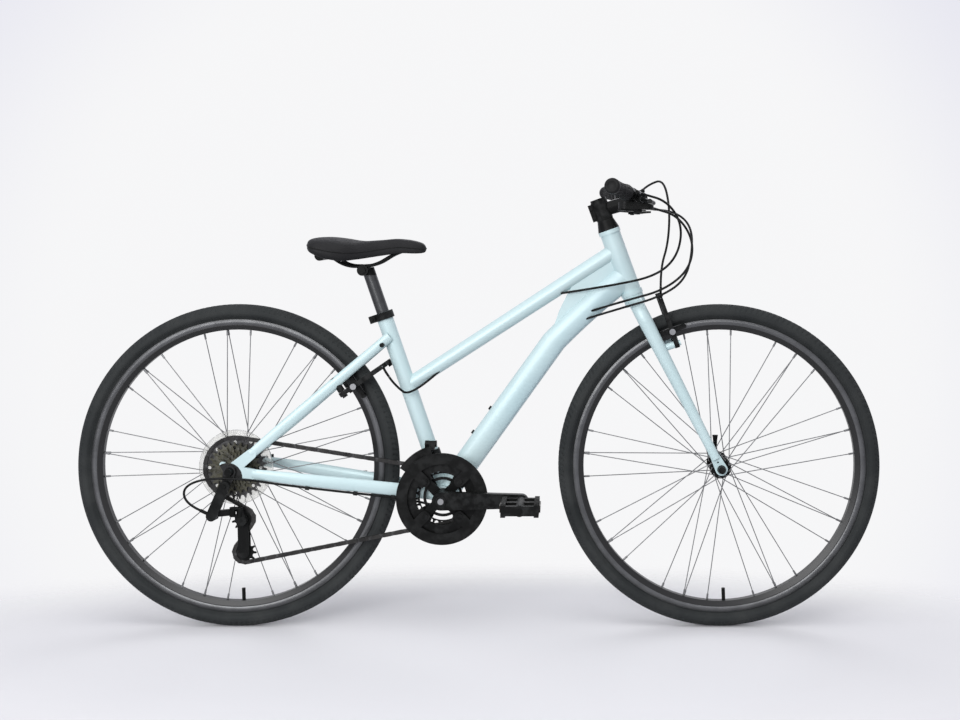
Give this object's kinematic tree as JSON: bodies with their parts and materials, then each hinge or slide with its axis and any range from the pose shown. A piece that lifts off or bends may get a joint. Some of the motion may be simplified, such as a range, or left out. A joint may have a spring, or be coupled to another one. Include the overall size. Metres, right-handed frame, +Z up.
{
  "type": "hybrid bike",
  "caption": "Step-through hybrid bicycle with rigid fork, flat bar, rim brakes, padded saddle and chain drive through derailleurs.",
  "frame": {"origin": "on the ground, in the middle plane, halfway between the wheel axles", "axes": "+X forward along the bike, +Y to the rider's left, +Z up; the drive side faces -Y"},
  "size_m": [1.74, 0.639, 0.9692],
  "materials": {
    "frame_paint": "gloss pearl paint",
    "black_metal": "satin black",
    "bare_alloy": "brushed",
    "steel": "bright",
    "black_plastic": "matte",
    "black_rubber": "matte",
    "tyre_rubber": "matte",
    "saddle_cover": "soft grain"
  },
  "bodies": {
    "frame": {"head_tube": "frame_paint", "top_tube": "frame_paint", "down_tube": "frame_paint", "seat_tube": "frame_paint", "bottom_bracket_shell": "frame_paint", "chain_stays": "frame_paint", "seat_stays": "frame_paint", "rear_dropouts": "bare_alloy", "bearing_cups": "bare_alloy", "frame_fittings": "black_metal", "frame_cables": "black_plastic", "rear_derailleur_body": "black_metal", "rear_axle": "steel", "chain": "steel"},
    "steering": {"fork_steerer": "frame_paint", "fork_blades": "frame_paint", "stem": "black_metal", "handlebar": "black_metal", "grips": "black_rubber", "control_brackets": "black_metal", "front_axle": "steel", "front_brake_cable": "black_plastic"},
    "front_wheel": {"front_rim": "black_metal", "front_tyre": "tyre_rubber", "front_inner_tube": "black_rubber", "front_spokes": "steel", "front_hub": "black_metal"},
    "rear_wheel": {"rear_rim": "black_metal", "rear_tyre": "tyre_rubber", "rear_inner_tube": "black_rubber", "rear_spokes": "steel", "rear_hub": "black_metal"},
    "freewheel": {"sprockets": "steel"},
    "crank": {"crank_spindle": "steel", "chainrings": "steel", "chain_guard": "black_plastic", "crank_arms": "black_metal"},
    "right_pedal": {"right_pedal": "black_plastic"},
    "left_pedal": {"left_pedal": "black_plastic"},
    "left_brake_lever": {"left_brake_lever": "black_metal"},
    "right_brake_lever": {"right_brake_lever": "black_metal"},
    "left_thumb_lever": {"left_thumb_lever": "black_plastic"},
    "right_thumb_lever": {"right_thumb_lever": "black_plastic"},
    "left_release_trigger": {"left_release_trigger": "black_plastic"},
    "right_release_trigger": {"right_release_trigger": "black_plastic"},
    "front_left_brake_arm": {"front_left_brake_arm": "black_metal"},
    "front_right_brake_arm": {"front_right_brake_arm": "black_metal"},
    "rear_left_brake_arm": {"rear_left_brake_arm": "black_metal"},
    "rear_right_brake_arm": {"rear_right_brake_arm": "black_metal"},
    "rear_derailleur_link": {"rear_derailleur_link": "black_metal"},
    "rear_derailleur_knuckle": {"rear_derailleur_knuckle": "black_metal"},
    "rear_derailleur_cage": {"rear_derailleur_cage": "black_metal"},
    "guide_pulley": {"guide_pulley": "black_plastic"},
    "tension_pulley": {"tension_pulley": "black_plastic"},
    "front_derailleur_cage": {"front_derailleur_cage": "black_metal"},
    "seat": {"seat_post": "black_metal", "saddle_rails": "steel", "saddle_pad": "saddle_cover"},
    "front_quick_release": {"front_quick_release_lever": "black_metal"},
    "rear_quick_release": {"rear_quick_release_lever": "black_metal"}
  },
  "joints": [
    {"name": "steering_turn", "type": "hinge", "parent": "frame", "child": "steering", "pos_m": [0.3303, 0, 0.72676], "axis": [-0.342, 0, 0.9397], "range_deg": [-50, 50], "deforming": ["frame_cables"]},
    {"name": "front_wheel_spin", "type": "hinge", "parent": "steering", "child": "front_wheel", "pos_m": [0.521, 0, 0.349], "axis": [0, 1, 0], "continuous": true},
    {"name": "rear_wheel_spin", "type": "hinge", "parent": "frame", "child": "rear_wheel", "pos_m": [-0.521, 0, 0.349], "axis": [0, 1, 0], "continuous": true},
    {"name": "crank_spin", "type": "hinge", "parent": "frame", "child": "crank", "pos_m": [-0.074, 0, 0.288], "axis": [0, 1, 0], "continuous": true, "deforming": ["chain"]},
    {"name": "freewheel_spin", "type": "hinge", "parent": "frame", "child": "freewheel", "pos_m": [-0.521, 0, 0.349], "axis": [0, 1, 0], "continuous": true},
    {"name": "right_pedal_spin", "type": "hinge", "parent": "crank", "child": "right_pedal", "pos_m": [0.096, -0.088, 0.288], "axis": [0, 1, 0], "continuous": true},
    {"name": "left_pedal_spin", "type": "hinge", "parent": "crank", "child": "left_pedal", "pos_m": [-0.244, 0.088, 0.288], "axis": [0, 1, 0], "continuous": true},
    {"name": "left_brake_lever_pull", "type": "hinge", "parent": "steering", "child": "left_brake_lever", "pos_m": [0.34334, 0.16834, 0.92432], "axis": [0.3661, 0.0141, 0.9305], "range_deg": [0, 18], "stiffness_Nm_per_rad": 0.8, "springref_deg": -5.73, "deforming": ["front_brake_cable"]},
    {"name": "right_brake_lever_pull", "type": "hinge", "parent": "steering", "child": "right_brake_lever", "pos_m": [0.34334, -0.16834, 0.92432], "axis": [-0.3661, 0.0141, -0.9305], "range_deg": [0, 18], "stiffness_Nm_per_rad": 0.8, "springref_deg": -5.73},
    {"name": "front_left_brake_arm_swing", "type": "hinge", "parent": "steering", "child": "front_left_brake_arm", "pos_m": [0.42607, 0.04, 0.6156], "axis": [0.9421, 0, 0.3355], "range_deg": [0, 2.7]},
    {"name": "front_right_brake_arm_swing", "type": "hinge", "parent": "steering", "child": "front_right_brake_arm", "pos_m": [0.42607, -0.04, 0.6156], "axis": [-0.9421, 0, -0.3355], "range_deg": [0, 2.7]},
    {"name": "rear_left_brake_arm_swing", "type": "hinge", "parent": "frame", "child": "rear_left_brake_arm", "pos_m": [-0.28777, 0.04, 0.50929], "axis": [0.5664, 0, -0.8241], "range_deg": [0, 2.7]},
    {"name": "rear_right_brake_arm_swing", "type": "hinge", "parent": "frame", "child": "rear_right_brake_arm", "pos_m": [-0.28777, -0.04, 0.50929], "axis": [-0.5664, 0, 0.8241], "range_deg": [0, 2.7]},
    {"name": "left_thumb_push", "type": "hinge", "parent": "steering", "child": "left_thumb_lever", "pos_m": [0.33834, 0.14239, 0.89796], "axis": [-0.02, 0.079, -0.9967], "range_deg": [0, 25], "stiffness_Nm_per_rad": 0.2, "springref_deg": -5.73},
    {"name": "right_thumb_push", "type": "hinge", "parent": "steering", "child": "right_thumb_lever", "pos_m": [0.33834, -0.14239, 0.89796], "axis": [0.02, 0.079, 0.9967], "range_deg": [0, 25], "stiffness_Nm_per_rad": 0.2, "springref_deg": -5.73},
    {"name": "left_trigger_pull", "type": "hinge", "parent": "steering", "child": "left_release_trigger", "pos_m": [0.33834, 0.14239, 0.89796], "axis": [0.02, -0.079, 0.9967], "range_deg": [0, 15], "stiffness_Nm_per_rad": 0.2, "springref_deg": -5.73},
    {"name": "right_trigger_pull", "type": "hinge", "parent": "steering", "child": "right_release_trigger", "pos_m": [0.33834, -0.14239, 0.89796], "axis": [-0.02, -0.079, -0.9967], "range_deg": [0, 15], "stiffness_Nm_per_rad": 0.2, "springref_deg": -5.73},
    {"name": "rear_derailleur_swing", "type": "hinge", "parent": "frame", "child": "rear_derailleur_link", "pos_m": [-0.554, -0.0675, 0.258], "axis": [0, 0, -1], "range_deg": [0, 50], "stiffness_Nm_per_rad": 0.8},
    {"name": "rear_derailleur_knuckle_turn", "type": "hinge", "parent": "rear_derailleur_link", "child": "rear_derailleur_knuckle", "pos_m": [-0.5215, -0.052, 0.258], "axis": [0, 0, 1], "range_deg": [0, 50]},
    {"name": "rear_derailleur_cage_swing", "type": "hinge", "parent": "rear_derailleur_knuckle", "child": "rear_derailleur_cage", "pos_m": [-0.503, -0.033, 0.239], "axis": [0, 1, 0], "range_deg": [-35, 15], "stiffness_Nm_per_rad": 0.5},
    {"name": "guide_pulley_spin", "type": "hinge", "parent": "rear_derailleur_cage", "child": "guide_pulley", "pos_m": [-0.503, -0.033, 0.239], "axis": [0, 1, 0], "continuous": true},
    {"name": "tension_pulley_spin", "type": "hinge", "parent": "rear_derailleur_cage", "child": "tension_pulley", "pos_m": [-0.50088, -0.033, 0.16803], "axis": [0, 1, 0], "continuous": true},
    {"name": "front_derailleur_swing", "type": "hinge", "parent": "frame", "child": "front_derailleur_cage", "pos_m": [-0.11209, -0.024, 0.39863], "axis": [-1, 0, 0], "range_deg": [0, 8], "stiffness_Nm_per_rad": 0.8, "springref_deg": -5.73},
    {"name": "seat_post_slide", "type": "slide", "parent": "frame", "child": "seat", "axis": [-0.3256, 0, 0.9455], "range_m": [-0.05, 0.07]},
    {"name": "front_quick_release_turn", "type": "hinge", "parent": "steering", "child": "front_quick_release", "pos_m": [0.521, 0.0748, 0.349], "axis": [-1, 0, 0], "range_deg": [0, 180]},
    {"name": "rear_quick_release_turn", "type": "hinge", "parent": "frame", "child": "rear_quick_release", "pos_m": [-0.521, 0.0923, 0.349], "axis": [0, 0, 1], "range_deg": [0, 180]}
  ],
  "couplings": [
    {"joint": "freewheel_spin", "follows": "crank_spin", "ratio": 0.875},
    {"joint": "guide_pulley_spin", "follows": "crank_spin", "ratio": -2.5455},
    {"joint": "tension_pulley_spin", "follows": "crank_spin", "ratio": 2.5455},
    {"joint": "rear_derailleur_knuckle_turn", "follows": "rear_derailleur_swing", "ratio": 1},
    {"joint": "front_left_brake_arm_swing", "follows": "left_brake_lever_pull", "ratio": 0.1444},
    {"joint": "front_right_brake_arm_swing", "follows": "left_brake_lever_pull", "ratio": 0.1444},
    {"joint": "rear_left_brake_arm_swing", "follows": "right_brake_lever_pull", "ratio": 0.1444},
    {"joint": "rear_right_brake_arm_swing", "follows": "right_brake_lever_pull", "ratio": 0.1444}
  ]
}
